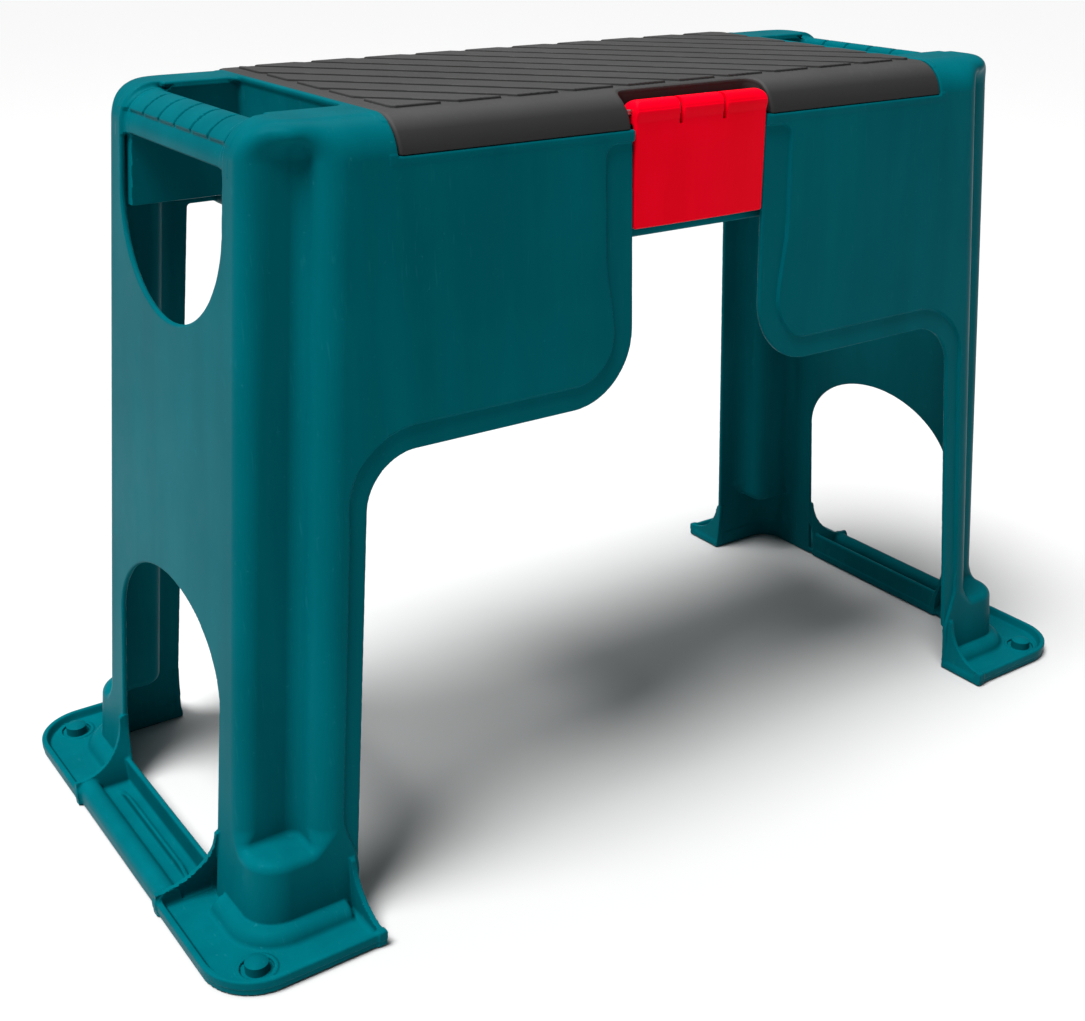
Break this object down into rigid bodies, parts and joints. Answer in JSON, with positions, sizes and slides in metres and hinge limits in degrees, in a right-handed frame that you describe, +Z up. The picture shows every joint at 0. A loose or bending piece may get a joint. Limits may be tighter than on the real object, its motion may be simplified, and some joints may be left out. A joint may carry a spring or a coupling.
{
  "type": "garden kneeler seat",
  "caption": "Plastic garden seat that turns over into a kneeler, with a storage box under a hinged tread lid, a front latch, end grip bars and splayed feet.",
  "frame": {"origin": "centre of the footprint on the floor plane", "axes": "+X along the seat towards its right end, -Y towards the front with the latch, +Z up"},
  "size_m": [0.626, 0.296, 0.4014],
  "materials": {
    "teal_plastic": "satin moulded polypropylene",
    "grey_plastic": "fine matt moulding grain",
    "red_plastic": "satin moulded polypropylene",
    "pin_steel": "drawn wire",
    "foot_rubber": "soft teal elastomer"
  },
  "bodies": {
    "seat": {"body": "teal_plastic", "hinge_pin_left": "pin_steel", "hinge_pin_right": "pin_steel", "foot_plug_front_left": "foot_rubber", "foot_plug_front_right": "foot_rubber", "foot_plug_back_left": "foot_rubber", "foot_plug_back_right": "foot_rubber"},
    "lid": {"lid": "grey_plastic", "latch_pin": "pin_steel"},
    "latch": {"latch": "red_plastic"}
  },
  "joints": [
    {"name": "lid_hinge", "type": "hinge", "parent": "seat", "child": "lid", "pos_m": [0, 0.089, 0.3945], "axis": [-1, 0, 0], "range_deg": [0, 100]},
    {"name": "latch_hinge", "type": "hinge", "parent": "lid", "child": "latch", "pos_m": [0, -0.095, 0.39], "axis": [-1, 0, 0], "range_deg": [0, 110]}
  ]
}
